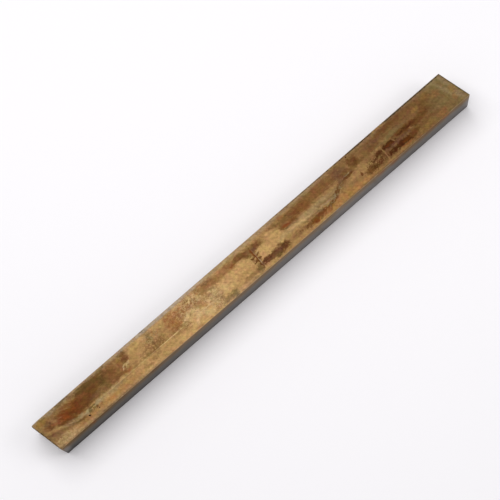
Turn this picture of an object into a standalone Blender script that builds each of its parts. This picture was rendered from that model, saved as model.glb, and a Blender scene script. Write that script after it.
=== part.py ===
"""Tool bit blank: one solid bar of high-speed steel with a square section and skewed ends.

Units are metres, +Z up. The bar lies along X on one of its four long faces. The origin is on
that face, under the middle of the bar.
"""

import math

import bmesh
import bpy
from mathutils import Matrix

# The stock: a square bar, hardened and ground
LENGTH = 0.200                   # along each long edge, from one end face to the other
WIDTH = 0.014                    # across the bar, along Y
THICKNESS = 0.014                # height of the bar as it lies, along Z

# The cut ends: both wheels cut at the same angle, so the two end faces are parallel
END_SKEW = math.radians(12.5)    # turn of an end face in plan, away from square across the bar

# The edges: broken by the grinder so that they don't cut the hand
LONG_EDGE_RADIUS = 0.0003        # rounding of the four long edges
END_EDGE_RADIUS = 0.0002         # rounding of the edges around the two end faces
ROUNDING_SEGMENTS = 3            # flats that each rounded edge is made of

# The finish: steel with a light brown heat tint
STEEL_COLOUR = (0.23, 0.14, 0.07, 1.0)
STEEL_ROUGHNESS = 0.42
STEEL_METALLIC = 1.0


def clear_scene():
    """Remove whatever the file holds, so that only the bar is in it."""
    for thing in list(bpy.data.objects):
        bpy.data.objects.remove(thing, do_unlink=True)


def steel_material():
    """Heat-tinted high-speed steel."""
    material = bpy.data.materials.new("high_speed_steel")
    material.use_nodes = True
    shader = material.node_tree.nodes["Principled BSDF"]
    shader.inputs["Base Color"].default_value = STEEL_COLOUR
    shader.inputs["Roughness"].default_value = STEEL_ROUGHNESS
    shader.inputs["Metallic"].default_value = STEEL_METALLIC
    material.diffuse_color = STEEL_COLOUR
    return material


def skewed_block(name):
    """A box of the bar's size on the ground plane, sheared in plan so that its ends are skewed.

    The shear moves the front of the bar towards +X and the back towards -X. It leaves the long
    faces flat and their length unchanged.
    """
    shape = bmesh.new()
    bmesh.ops.create_cube(shape, size=1.0)
    sized = Matrix.Diagonal((LENGTH, WIDTH, THICKNESS, 1.0))
    skewed = Matrix.Shear('XZ', 4, (-math.tan(END_SKEW), 0.0))
    raised = Matrix.Translation((0.0, 0.0, THICKNESS / 2))
    bmesh.ops.transform(shape, matrix=raised @ skewed @ sized, verts=shape.verts)
    mark_edge_radii(shape)
    mesh = bpy.data.meshes.new(name)
    shape.to_mesh(mesh)
    shape.free()
    return mesh


def mark_edge_radii(shape):
    """Give each edge its share of the larger radius: a long edge runs along X, an end edge doesn't."""
    largest = max(LONG_EDGE_RADIUS, END_EDGE_RADIUS)
    weight = shape.edges.layers.float.new("bevel_weight_edge")
    for edge in shape.edges:
        start, end = edge.verts
        runs_along_bar = abs(end.co.x - start.co.x) > LENGTH / 2
        radius = LONG_EDGE_RADIUS if runs_along_bar else END_EDGE_RADIUS
        edge[weight] = radius / largest


def round_edges(bar):
    """Round every edge by the radius that it is marked with."""
    rounding = bar.modifiers.new("broken_edges", 'BEVEL')
    rounding.limit_method = 'WEIGHT'
    rounding.offset_type = 'OFFSET'
    rounding.width = max(LONG_EDGE_RADIUS, END_EDGE_RADIUS)
    rounding.segments = ROUNDING_SEGMENTS
    rounding.use_clamp_overlap = True


def build():
    """Make the bar and put it in a collection of its own."""
    clear_scene()
    collection = bpy.data.collections.new("tool bit blank")
    bpy.context.scene.collection.children.link(collection)
    bar = bpy.data.objects.new("tool_bit_blank", skewed_block("tool_bit_blank"))
    collection.objects.link(bar)
    bar.data.materials.append(steel_material())
    round_edges(bar)


build()
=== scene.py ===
"""The looks of a tool bit blank: a square bar of hardened high-speed steel on a pale surface.

The top carries the brown and gold tint of hardening, with its stains, streaks and pits. The
sides are ground grey, and the ends are as the cutting wheel left them. Lengths in the tables
and constants below are millimetres, unless a comment says otherwise. Places are in the bar's
own frame: x along it, y across it, z up.
"""

import math
from collections import namedtuple

import bmesh
import bpy
import numpy as np
from bpy.props import FloatProperty, FloatVectorProperty, IntProperty, PointerProperty
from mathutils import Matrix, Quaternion, Vector, noise


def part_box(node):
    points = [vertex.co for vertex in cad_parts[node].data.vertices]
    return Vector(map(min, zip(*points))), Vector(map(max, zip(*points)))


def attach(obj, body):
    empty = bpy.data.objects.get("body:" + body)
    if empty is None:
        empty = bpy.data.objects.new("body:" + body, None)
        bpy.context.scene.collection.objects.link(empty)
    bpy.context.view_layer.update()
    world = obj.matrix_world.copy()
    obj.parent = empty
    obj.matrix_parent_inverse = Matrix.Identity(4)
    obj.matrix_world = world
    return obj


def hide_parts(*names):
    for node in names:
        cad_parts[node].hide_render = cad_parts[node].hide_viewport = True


bl_info = {
    "name": "Tool bit blank",
    "version": (1, 0, 0),
    "blender": (4, 5, 0),
    "location": "3D View > Sidebar > Tool Bit",
    "description": "Builds a heat-tinted high-speed steel tool bit blank and its stage",
    "category": "Object",
}

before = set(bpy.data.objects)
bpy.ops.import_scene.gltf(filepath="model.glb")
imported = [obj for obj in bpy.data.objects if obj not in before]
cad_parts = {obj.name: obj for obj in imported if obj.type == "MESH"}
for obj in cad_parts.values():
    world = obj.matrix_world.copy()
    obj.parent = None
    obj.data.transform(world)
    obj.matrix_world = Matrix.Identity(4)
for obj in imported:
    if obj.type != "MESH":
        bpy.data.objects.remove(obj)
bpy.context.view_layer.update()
NODE = "tool_bit_blank"
LOW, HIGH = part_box(NODE)
MM = 0.001


def linear(hex_colour):
    """An sRGB hex colour, such as "c49c68", as linear red, green and blue."""
    values = [int(hex_colour[i:i + 2], 16) / 255 for i in (0, 2, 4)]
    return [v / 12.92 if v <= 0.04045 else ((v + 0.055) / 1.055) ** 2.4 for v in values]


def colour_property(name, hex_colour, description):
    """A colour that the user can change, written as the sRGB hex value it shows as."""
    return FloatVectorProperty(
        name=name, description=description, default=linear(hex_colour),
        size=3, subtype='COLOR', min=0.0, max=1.0,
    )


def length_property(name, millimetres, description):
    """A length that the user can change, written in millimetres and kept in metres."""
    return FloatProperty(
        name=name, description=description, default=millimetres * MM,
        min=0.0, subtype='DISTANCE', unit='LENGTH', precision=5,
    )


class BarShape(bpy.types.PropertyGroup):
    """Sizes of the bar that the frame doesn't give."""

    end_skew: FloatProperty(
        name="End skew", description="Turn of both end faces in plan, away from square",
        default=math.radians(12.5), subtype='ANGLE',
    )
    long_edge_radius: length_property("Long edge radius", 0.3, "Rounding of the long edges")
    end_edge_radius: length_property("End edge radius", 0.2, "Rounding around the end faces")
    worn_corner_radius: length_property(
        "Worn corner radius", 0.8, "Rounding of the worn corner at the back of the left end",
    )
    worn_corner_reach: length_property(
        "Worn corner reach", 3.0, "How far along its edges the worn corner tapers off",
    )
    radius_wander: FloatProperty(
        name="Radius wander", description="How much the hand-broken edges vary, as a share",
        default=0.3, min=0.0, max=0.6,
    )
    point_spacing: length_property("Point spacing", 0.5, "Distance between points of the mesh")
    rounding_steps: IntProperty(
        name="Rounding steps", description="Mesh steps in half of each rounded edge",
        default=3, min=1, max=6,
    )
    scale_swell: length_property("Scale swell", 0.012, "Height of the scale's gentle swell")


class SteelColours(bpy.types.PropertyGroup):
    """Colours of the steel, as they show in plain daylight."""

    pale_gold: colour_property("Pale gold", "d6b684", "Lightest flecks of the tint")
    straw: colour_property("Straw", "c39b66", "Light gold of a thin heat tint")
    ochre: colour_property("Ochre", "ab8554", "Mid gold of the tint")
    orange_tan: colour_property("Orange tan", "b07c46", "Warm spots along the front edge")
    bronze: colour_property("Bronze", "94723a", "Golden brown at the left end")
    tan: colour_property("Tan", "9c784c", "Brownish part of the tint")
    brown: colour_property("Brown", "7e5d38", "Mid brown right of the middle")
    olive: colour_property("Olive", "7e6841", "Greenish brown at the right end")
    dark_olive: colour_property("Dark olive", "644c28", "Darker greenish brown")
    umber: colour_property("Umber", "6a4423", "Dark brown of a thick tint")
    red_brown: colour_property("Red brown", "7b421b", "Rusty red of the thickest tint")
    ember: colour_property("Ember", "965123", "Brightest of the red")
    rust: colour_property("Rust", "956039", "Light rust")
    maroon: colour_property("Maroon", "4a260f", "Darkest red brown")
    plum: colour_property("Plum", "6b4836", "Purplish brown")
    grey_green: colour_property("Grey green", "a08f69", "Greyish bare streak")
    haze: colour_property("Haze", "a08a6c", "Dull tint along the back edge")
    dark_edge: colour_property("Dark edge", "463a2b", "Dark tint along some of the edges")
    worn_edge: colour_property("Worn edge", "b3a390", "Bare steel on the broken edges")
    # Soot is dirt in the pits; at the foot of the sides it is painted shade, for the shadow where
    # the bar meets the table.
    soot_and_foot_shade: colour_property("Soot", "1d1612", "Dirt in the pits and at the foot")
    ground: colour_property("Ground steel", "95908c", "Ground side faces")
    # Painted shade: this darker ground steel stands for the floor's deeper shadow that the sides
    # reflect toward the left end.
    darker_ground: colour_property("Dull ground steel", "676460", "Side faces at the left end")
    side_tint: colour_property("Side tint", "8b755c", "Brown tint at the top of the sides")
    gold_sheen: colour_property("Gold sheen", "d9b98c", "How the top reflects at a low angle")
    sheen: colour_property("Sheen", "c3c2c3", "How ground steel reflects at a low angle")
    tinted_sheen: colour_property("Tinted sheen", "d0bea8", "The same where it is tinted")
    cut: colour_property("Cut steel", "8d8883", "End faces as cut")
    burn: colour_property("Burn", "6b5a4e", "Burnt tint on the end faces")


class StageSettings(bpy.types.PropertyGroup):
    """The surface, the light and the camera."""

    surface: colour_property("Surface", "f9f7fa", "Colour of the surface under the bar")
    surface_size: length_property("Surface size", 6000.0, "Side of the square surface")
    sky: colour_property("Sky", "ffffff", "Colour of the light from all round")
    sky_light: FloatProperty(
        name="Sky light", description="Strength of the light from all round, 1 being white",
        default=0.4, min=0.0, max=2.0,
    )
    sky_seen: FloatProperty(
        name="Sky seen", description="Strength of the sky where it shows, 1 being white",
        default=0.95, min=0.0, max=2.0,
    )
    key_power: FloatProperty(
        name="Key power", description="Power of the large soft lamp, in watts",
        default=3.25, min=0.0, unit='POWER',
    )
    key_size: length_property("Key size", 640.0, "Side of the large soft lamp")
    key_place: FloatVectorProperty(
        name="Key place", description="Where the large soft lamp hangs",
        default=(-0.02, 0.21, 0.64), subtype='TRANSLATION', unit='LENGTH',
    )
    fill_power: FloatProperty(
        name="Fill power", description="Power of the small soft lamp, in watts",
        default=0.5, min=0.0, unit='POWER',
    )
    fill_size: length_property("Fill size", 250.0, "Side of the small soft lamp")
    fill_place: FloatVectorProperty(
        name="Fill place", description="Where the small soft lamp hangs",
        default=(0.31, -0.21, 0.44), subtype='TRANSLATION', unit='LENGTH',
    )
    camera_place: FloatVectorProperty(
        name="Camera place", description="Where the camera stands",
        default=(-0.05164, -0.11682, 0.55483), subtype='TRANSLATION', unit='LENGTH',
    )
    camera_target: FloatVectorProperty(
        name="Camera target", description="Point at the middle of the picture",
        default=(0.00173, 0.00467, 0.007), subtype='TRANSLATION', unit='LENGTH',
    )
    camera_roll: FloatProperty(
        name="Camera roll", description="Turn of the camera about its line of sight",
        default=math.radians(-17.766), subtype='ANGLE',
    )
    lens: FloatProperty(
        name="Lens", description="Focal length on a 36 mm sensor, in millimetres",
        default=108.64, min=1.0,
    )


# A mark on the steel: centre, half sizes, colour, strength, how soft its rim is (0 crisp, 1 fades
# from near the middle), which of the outlines below it has, and its turn in degrees anticlockwise.
# On a side face, y is the height above the table. A later mark lies over the earlier ones, so a
# few stand after the others of their area.
Mark = namedtuple("Mark", "x y half_x half_y colour strength soft outline turn",
                  defaults=(0.7, "ragged", 0))

TOP_MARKS = (
    # Left end
    Mark(-99.8, -0.8, 1.5, 8.0, "olive", 0.5, 0.8, "smooth", 8),
    Mark(-98.0, 5.3, 2.8, 1.2, "bronze", 0.8, 0.6),
    Mark(-96.2, 2.2, 2.4, 1.5, "umber", 0.85, 0.6, "wiped", -14),
    Mark(-96.2, 3.2, 1.2, 0.9, "plum", 0.6, 0.6),
    Mark(-97.8, -0.4, 1.8, 0.8, "umber", 0.5, 0.7, "wiped"),
    Mark(-96.4, 4.6, 1.6, 0.9, "umber", 0.35, 0.7, "wiped"),
    Mark(-97.3, 6.3, 1.4, 0.6, "umber", 0.4),
    Mark(-98.4, 0.3, 0.9, 0.7, "ochre", 0.4, 0.7, "smooth"),
    Mark(-96.4, -1.8, 3.4, 1.5, "plum", 0.55, 0.8, "wiped", -10),
    Mark(-90.6, 5.1, 4.0, 1.4, "brown", 0.7, 0.8, "speckled"),
    Mark(-94.5, -5.1, 5.0, 1.6, "pale_gold", 0.45, 0.7, "speckled"),
    Mark(-95.0, -4.8, 3.0, 1.4, "dark_olive", 0.3, 0.5, "flecked"),
    Mark(-92.6, 6.2, 2.0, 0.8, "haze", 0.6),
    # The red streak and the dark band behind it
    Mark(-84.6, 1.2, 7.6, 2.9, "umber", 0.85, 0.5, "wiped", 4),
    Mark(-89.8, 0.2, 2.8, 1.8, "umber", 0.8, 0.6, "wiped", -24),
    Mark(-88.9, -0.7, 3.4, 1.0, "umber", 0.85, 0.6, "wiped", -18),
    Mark(-91.2, -0.4, 2.4, 0.8, "umber", 0.75, 0.6, "wiped", -22),
    Mark(-91.2, 3.1, 2.0, 0.9, "umber", 0.7, 0.6, "wiped", -14),
    Mark(-90.4, 3.2, 1.4, 0.8, "umber", 0.4, 0.7, "wiped"),
    Mark(-90.8, 1.4, 1.6, 2.0, "red_brown", 0.4, 0.8, "wiped"),
    Mark(-88.3, 3.9, 1.6, 0.7, "umber", 0.5, 0.7, "wiped"),
    Mark(-84.1, 5.4, 1.6, 0.8, "brown", 0.6),
    Mark(-86.4, 1.6, 5.0, 2.3, "red_brown", 0.65, 0.8, "wiped", -6),
    Mark(-89.6, 0.8, 1.6, 0.8, "ember", 0.5, 0.8, "wiped", -26),
    Mark(-93.4, 1.4, 2.6, 0.5, "rust", 0.6, 0.7, "wiped", -26),
    Mark(-93.6, -1.0, 3.6, 0.3, "straw", 0.4, 0.7, "wiped", -30),
    Mark(-91.4, -1.8, 3.0, 0.2, "haze", 0.6, 0.6, "exact", -27),
    Mark(-89.0, -2.3, 2.8, 0.2, "haze", 0.5, 0.6, "exact", -25),
    Mark(-92.6, -2.9, 2.4, 0.3, "brown", 0.5, 0.7, "wiped", -27),
    Mark(-85.6, 0.6, 2.4, 0.9, "maroon", 0.4, 0.8, "wiped", -10),
    Mark(-83.0, 2.4, 3.4, 1.4, "red_brown", 0.45, 0.8, "wiped", 6),
    Mark(-95.4, -0.4, 3.4, 0.4, "ochre", 0.5, 0.7, "wiped", -28),
    Mark(-79.0, 1.8, 5.0, 3.3, "umber", 0.8, 0.5, "brushed"),
    Mark(-74.5, 3.6, 8.5, 2.6, "umber", 0.9, 0.4, "brushed", -3),
    Mark(-80.5, 3.2, 1.5, 0.8, "rust", 0.5, 0.8, "wiped", -20),
    Mark(-70.2, 2.1, 2.9, 3.0, "dark_olive", 0.85, 0.5, "brushed"),
    Mark(-77.5, 4.9, 5.4, 1.2, "dark_olive", 0.6, 0.6),
    Mark(-74.6, 6.5, 2.6, 0.5, "haze", 0.4),
    Mark(-78.0, -0.3, 4.6, 1.2, "umber", 0.6, 0.7, "brushed"),
    Mark(-76.3, 0.0, 2.6, 0.9, "plum", 0.5),
    Mark(-72.4, -0.3, 4.2, 1.3, "brown", 0.75),
    Mark(-64.8, 2.0, 4.3, 3.8, "brown", 0.75, 0.5, "brushed"),
    Mark(-65.4, 1.8, 4.0, 3.2, "rust", 0.45, 0.7, "brushed"),
    Mark(-66.8, 2.6, 1.6, 2.4, "umber", 0.5),
    Mark(-62.2, 4.0, 0.9, 1.6, "bronze", 0.7, 0.7, "smooth"),
    Mark(-63.9, 4.0, 0.4, 1.8, "ochre", 0.4, 0.8, "exact", 8),
    Mark(-69.4, 6.2, 2.2, 0.6, "dark_olive", 0.6),
    Mark(-66.0, -0.7, 6.0, 0.7, "umber", 0.4),
    Mark(-62.3, 0.6, 0.8, 0.25, "pale_gold", 0.7, 0.6, "exact", 50),
    Mark(-61.7, 1.4, 0.9, 0.25, "pale_gold", 0.6, 0.6, "exact", 20),
    # The greyish streak, the dark line under it and two pits
    Mark(-87.6, -2.1, 2.6, 0.6, "grey_green", 0.3, 0.7, "wiped", -17),
    Mark(-84.9, -2.5, 1.3, 0.8, "grey_green", 0.6, 0.5),
    Mark(-82.2, -2.9, 1.7, 0.9, "grey_green", 0.85, 0.5),
    Mark(-77.4, -2.6, 1.8, 0.9, "grey_green", 0.75, 0.5),
    Mark(-89.6, -2.7, 5.0, 0.7, "dark_olive", 0.45, 0.8, "wiped", -12),
    Mark(-85.4, -3.6, 2.6, 0.4, "dark_olive", 0.7, 0.6, "wiped", -12),
    Mark(-83.8, -3.4, 0.9, 0.6, "brown", 0.5),
    Mark(-79.8, -2.2, 1.9, 0.35, "dark_olive", 0.8, 0.5, "ragged", 4),
    Mark(-81.2, -3.2, 0.5, 0.9, "dark_olive", 0.7, 0.6, "ragged", 20),
    Mark(-79.2, -3.4, 1.1, 0.6, "dark_olive", 0.7, 0.6, "flecked"),
    Mark(-78.3, -3.8, 0.5, 0.7, "umber", 0.8, 0.6),
    Mark(-76.4, -4.0, 0.7, 0.3, "umber", 0.6, 0.6, "ragged", 50),
    Mark(-81.8, -4.1, 0.6, 0.3, "umber", 0.5, 0.6, "ragged", 40),
    Mark(-71.5, -2.6, 6.0, 1.1, "grey_green", 0.45, 0.7, "speckled"),
    Mark(-72.9, -3.4, 1.6, 0.8, "straw", 0.5),
    Mark(-66.4, -2.8, 3.0, 0.5, "olive", 0.25),
    Mark(-65.0, -1.9, 1.6, 0.5, "straw", 0.5),
    Mark(-69.0, -5.1, 13.0, 1.3, "orange_tan", 0.3),
    Mark(-72.3, -5.4, 1.8, 0.9, "orange_tan", 0.7),
    Mark(-84.0, -5.0, 4.0, 1.0, "rust", 0.35, 0.8),
    Mark(-77.8, -5.0, 1.3, 0.7, "tan", 0.5),
    Mark(-75.6, -6.6, 2.8, 0.5, "brown", 0.6),
    Mark(-79.8, -6.0, 1.2, 0.6, "brown", 0.3),
    Mark(-82.6, -4.4, 0.42, 0.28, "soot_and_foot_shade", 1.0, 0.4, "exact", -40),
    Mark(-78.0, -4.5, 0.26, 0.22, "soot_and_foot_shade", 0.9, 0.4, "exact"),
    # Where the dark band breaks up
    Mark(-59.2, 5.4, 2.8, 0.9, "olive", 0.6),
    Mark(-57.5, 4.8, 0.9, 1.2, "olive", 0.45),
    Mark(-59.6, 3.8, 1.6, 2.4, "umber", 0.8, 0.6),
    Mark(-61.2, -1.0, 2.2, 0.7, "rust", 0.8, 0.5),
    Mark(-59.2, 0.6, 2.0, 0.9, "ochre", 0.7, 0.7, "ragged", 20),
    Mark(-60.0, 1.1, 1.4, 0.3, "pale_gold", 0.5, 0.6, "ragged", 30),
    Mark(-58.4, -1.2, 0.9, 1.1, "brown", 0.6, 0.6),
    Mark(-57.0, 0.8, 0.5, 1.0, "brown", 0.5, 0.6, "ragged", 30),
    Mark(-55.5, -4.0, 1.3, 0.7, "dark_olive", 0.55, 0.6, "ragged", 40),
    Mark(-54.2, -5.0, 1.7, 0.6, "tan", 0.85, 0.6),
    Mark(-56.4, 1.7, 1.6, 9.0, "ochre", 0.85, 0.7, "smooth", -32),
    Mark(-56.5, 4.8, 2.2, 1.6, "straw", 0.5),
    Mark(-58.5, -1.9, 1.0, 0.8, "brown", 0.5),
    Mark(-48.5, 3.4, 1.3, 2.8, "olive", 0.85),
    Mark(-50.3, 3.6, 1.0, 2.0, "straw", 0.5, 0.7, "ragged", -30),
    Mark(-52.4, 5.0, 2.4, 1.0, "straw", 0.35),
    Mark(-52.0, -0.6, 3.0, 1.3, "brown", 0.5, 0.6, "speckled"),
    Mark(-51.4, -1.8, 5.0, 0.6, "brown", 0.7, 0.6),
    Mark(-49.6, -2.3, 1.4, 0.5, "brown", 0.6, 0.6),
    Mark(-51.8, 2.8, 2.6, 0.9, "tan", 0.6),
    Mark(-49.7, 2.2, 1.3, 1.1, "tan", 0.7),
    Mark(-48.9, 2.3, 1.1, 0.8, "brown", 0.4),
    Mark(-51.6, 1.0, 2.6, 0.8, "ochre", 0.6),
    Mark(-46.0, -0.5, 3.2, 1.7, "brown", 0.6, 0.6, "speckled"),
    Mark(-45.3, 3.4, 1.6, 1.5, "rust", 0.45, 0.7, "speckled"),
    Mark(-46.0, 0.2, 5.0, 2.8, "umber", 0.4, 0.5, "curled"),
    Mark(-46.6, 3.2, 3.6, 1.8, "pale_gold", 0.32, 0.5, "curled"),
    Mark(-46.4, 4.2, 1.4, 0.8, "brown", 0.3),
    Mark(-42.4, 1.0, 1.9, 2.8, "ochre", 0.7),
    Mark(-43.6, 5.0, 2.6, 1.2, "straw", 0.5, 0.7, "speckled"),
    # The rusty patch, cut off by the long scratch
    Mark(-37.6, 1.9, 3.0, 3.8, "rust", 0.8, 0.5, "ragged", 8),
    Mark(-38.2, -1.5, 2.4, 0.7, "umber", 0.5, 0.6),
    Mark(-37.4, -0.4, 2.2, 1.0, "rust", 0.6, 0.6),
    Mark(-37.6, 1.2, 1.4, 1.0, "ember", 0.3, 0.8, "speckled"),
    Mark(-37.6, 1.6, 3.6, 3.0, "straw", 0.25, 0.5, "curled"),
    Mark(-33.8, 2.4, 2.2, 2.0, "tan", 0.6),
    Mark(-33.6, 1.4, 1.0, 1.3, "brown", 0.5, 0.6),
    Mark(-30.6, 3.4, 2.8, 1.8, "rust", 0.65, 0.6, "speckled"),
    Mark(-29.8, 1.6, 2.4, 0.7, "brown", 0.6, 0.6),
    Mark(-29.0, 4.8, 2.0, 1.1, "brown", 0.5),
    Mark(-31.2, 3.8, 1.4, 0.8, "plum", 0.3),
    Mark(-30.8, 3.2, 4.0, 2.4, "pale_gold", 0.45, 0.5, "curled"),
    Mark(-34.6, 2.7, 1.0, 1.5, "rust", 0.6),
    Mark(-44.0, -3.5, 19.0, 1.25, "straw", 0.35, 0.3),
    Mark(-40.6, -2.3, 7.0, 0.13, "pale_gold", 0.85, 0.4, "exact"),
    Mark(-54.0, -2.25, 24.0, 0.11, "pale_gold", 0.35, 0.4, "exact"),
    Mark(-51.0, -4.4, 1.5, 0.6, "brown", 0.5, 0.6, "ragged", -40),
    Mark(-49.8, -3.4, 1.4, 0.6, "brown", 0.35),
    Mark(-34.8, -2.5, 1.6, 1.1, "tan", 0.8, 0.6),
    Mark(-52.4, -3.2, 1.4, 0.8, "rust", 0.35, 0.8),
    Mark(-46.6, -5.8, 2.6, 0.9, "tan", 0.75),
    Mark(-52.6, -6.6, 3.2, 0.4, "brown", 0.35),
    Mark(-45.6, -6.6, 1.6, 0.4, "brown", 0.35),
    Mark(-38.6, -3.0, 2.8, 0.6, "brown", 0.5),
    Mark(-35.0, -3.8, 1.8, 0.8, "brown", 0.5, 0.6),
    Mark(-48.6, -3.6, 1.4, 0.8, "plum", 0.3, 0.7, "ragged", -30),
    Mark(-37.0, -5.8, 12.0, 1.2, "straw", 0.7, 0.6),
    # Flecked gold
    Mark(-31.4, -0.7, 3.0, 1.3, "pale_gold", 0.6, 0.5, "speckled", 14),
    Mark(-30.8, -1.0, 3.2, 1.8, "umber", 0.4, 0.5, "curled", 10),
    Mark(-29.2, -0.8, 1.3, 0.8, "pale_gold", 0.6, 0.6, "speckled"),
    Mark(-30.6, -2.2, 3.4, 2.6, "pale_gold", 0.5, 0.5, "flecked"),
    Mark(-34.0, -0.9, 1.0, 0.3, "pale_gold", 0.8, 0.5, "exact", 30),
    Mark(-32.0, 0.4, 0.3, 0.8, "pale_gold", 0.8, 0.5, "exact", -30),
    Mark(-31.2, -0.6, 0.25, 0.7, "umber", 0.5, 0.5, "exact", -30),
    Mark(-30.5, -3.4, 2.6, 2.8, "straw", 0.7, 0.6, "speckled", -20),
    Mark(-29.2, -2.8, 0.8, 3.6, "pale_gold", 0.65, 0.6, "ragged", -38),
    Mark(-33.4, -2.4, 1.6, 0.4, "tan", 0.6, 0.6, "ragged", -50),
    Mark(-26.8, 3.6, 0.3, 1.3, "pale_gold", 0.8, 0.6, "exact", -42),
    Mark(-27.7, 3.0, 0.35, 1.3, "umber", 0.7, 0.6, "exact", -42),
    Mark(-28.6, 3.4, 0.3, 1.1, "pale_gold", 0.7, 0.6, "exact", -42),
    Mark(-25.4, 3.8, 0.3, 0.9, "pale_gold", 0.6, 0.6, "exact", -30),
    Mark(-25.2, 1.9, 0.5, 0.8, "pale_gold", 0.6, 0.7, "ragged", -30),
    Mark(-26.8, 1.4, 1.2, 1.5, "umber", 0.45),
    Mark(-22.5, 3.6, 2.6, 1.9, "rust", 0.7, 0.6),
    Mark(-25.6, -1.2, 1.6, 1.0, "rust", 0.4),
    Mark(-24.6, 5.2, 1.6, 0.8, "brown", 0.5),
    Mark(-25.8, 2.0, 0.4, 0.6, "pale_gold", 0.8, 0.5, "exact"),
    Mark(-24.0, 2.3, 0.3, 0.5, "pale_gold", 0.7, 0.5, "exact", 30),
    Mark(-23.4, -0.8, 0.4, 2.2, "pale_gold", 0.6, 0.6, "ragged", 6),
    Mark(-26.2, -3.2, 1.6, 1.2, "pale_gold", 0.6, 0.6, "speckled"),
    Mark(-24.6, -4.8, 2.2, 1.0, "pale_gold", 0.5),
    Mark(-29.4, -4.6, 1.0, 0.7, "straw", 0.5),
    Mark(-21.5, -5.4, 1.2, 1.0, "brown", 0.45),
    Mark(-18.1, -4.7, 1.6, 0.8, "tan", 0.5),
    Mark(-24.6, -2.45, 4.6, 0.14, "pale_gold", 0.9, 0.5, "exact"),
    Mark(-30.9, -6.4, 1.7, 0.5, "brown", 0.45),
    Mark(-24.2, 0.3, 2.4, 1.1, "tan", 0.7, 0.6, "speckled"),
    Mark(-19.6, -1.6, 2.6, 3.4, "brown", 0.5, 0.6, "speckled"),
    Mark(-19.8, -1.2, 2.4, 3.2, "pale_gold", 0.8, 0.5, "flecked"),
    Mark(-20.6, -0.4, 1.6, 1.2, "umber", 0.35, 0.6, "speckled"),
    Mark(-18.8, -2.6, 1.6, 1.4, "brown", 0.5, 0.6, "flecked"),
    Mark(-20.6, -1.4, 3.0, 3.4, "pale_gold", 0.55, 0.5, "curled"),
    Mark(-20.0, -1.4, 2.4, 3.0, "umber", 0.2, 0.5, "flecked"),
    Mark(-22.1, 0.3, 1.1, 0.9, "tan", 0.6),
    Mark(-26.7, 2.8, 1.3, 1.0, "umber", 0.3, 0.7, "ragged", -42),
    Mark(-24.4, 2.0, 1.4, 0.8, "tan", 0.45),
    Mark(-25.4, 3.0, 2.4, 2.0, "pale_gold", 0.38, 0.5, "curled"),
    # Brown band along the back, over the golden patches
    Mark(-19.0, 3.3, 5.0, 1.8, "tan", 0.85, 0.5),
    Mark(-18.4, 3.8, 3.4, 1.0, "rust", 0.45),
    Mark(-18.0, 4.9, 3.0, 0.7, "plum", 0.55),
    Mark(-7.0, 5.2, 3.0, 0.6, "brown", 0.5),
    Mark(-11.0, 3.4, 7.0, 1.6, "rust", 0.7, 0.5, "brushed"),
    Mark(-11.0, 3.6, 6.0, 1.2, "tan", 0.5),
    Mark(-9.4, 4.0, 1.8, 0.8, "umber", 0.35, 0.7, "brushed"),
    Mark(-14.0, 5.1, 3.0, 0.5, "straw", 0.35),
    Mark(-7.6, 2.7, 1.4, 0.8, "red_brown", 0.4, 0.8),
    Mark(-3.9, 3.8, 3.4, 1.1, "umber", 0.75, 0.5, "brushed"),
    Mark(1.0, 3.2, 5.2, 1.7, "umber", 0.65, 0.5),
    Mark(0.8, 0.2, 2.0, 4.0, "brown", 0.65, 0.4),
    Mark(-7.0, -3.2, 6.0, 1.2, "ochre", 0.6, 0.6, "brushed"),
    Mark(-15.2, -5.5, 3.8, 1.1, "olive", 0.75, 0.6),
    Mark(-14.0, -5.5, 1.6, 0.6, "dark_olive", 0.4),
    Mark(-3.7, -6.2, 0.9, 0.5, "brown", 0.7, 0.6),
    Mark(-5.2, -4.8, 4.2, 0.8, "brown", 0.6, 0.5, "brushed"),
    Mark(-0.4, -4.6, 1.5, 1.5, "dark_olive", 0.75, 0.5, "ragged", 20),
    Mark(-12.0, -1.1, 4.4, 3.2, "straw", 0.9, 0.14, "lobed"),
    Mark(-5.4, -0.5, 4.5, 3.3, "straw", 0.85, 0.12, "lobed"),
    Mark(-12.6, -1.2, 3.0, 2.0, "pale_gold", 0.3, 0.8, "smooth"),
    Mark(-12.4, -1.0, 3.0, 1.8, "orange_tan", 0.2, 0.8, "smooth"),
    Mark(-15.4, -1.4, 1.4, 2.0, "pale_gold", 0.25, 0.8, "smooth"),
    Mark(-5.0, -2.4, 4.6, 0.9, "ochre", 0.7, 0.7, "brushed"),
    Mark(-7.6, 2.3, 1.3, 0.7, "red_brown", 0.45),
    Mark(-2.0, 2.1, 1.9, 0.8, "umber", 0.65, 0.5, "ragged", -28),
    Mark(5.0, -0.7, 2.9, 2.9, "straw", 0.75, 0.14, "lobed"),
    Mark(10.2, 0.7, 4.7, 3.5, "straw", 0.7, 0.13, "lobed", -8),
    Mark(7.0, 2.7, 1.5, 0.8, "tan", 0.6, 0.6, "ragged", 30),
    Mark(10.8, -2.3, 0.8, 0.5, "umber", 0.7, 0.6),
    Mark(4.4, 3.1, 2.4, 1.1, "umber", 0.55, 0.5),
    Mark(12.4, 4.4, 2.2, 0.8, "brown", 0.7, 0.6, "ragged", -10),
    # The branched dark mark between the patches, with its pale line
    Mark(0.9, -0.8, 0.38, 4.8, "umber", 0.9, 0.4),
    Mark(0.9, 1.6, 0.6, 2.4, "red_brown", 0.6, 0.6),
    Mark(1.0, -1.4, 0.4, 0.8, "red_brown", 0.6, 0.6),
    Mark(-0.4, -0.1, 1.0, 0.4, "umber", 0.95, 0.4, "ragged", -25),
    Mark(-0.2, -1.8, 0.9, 0.4, "umber", 0.95, 0.4, "ragged", 15),
    Mark(2.2, 0.0, 0.8, 0.4, "umber", 0.9, 0.4, "ragged", 30),
    Mark(2.1, -1.4, 0.8, 0.5, "umber", 0.9, 0.4, "ragged", -25),
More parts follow.
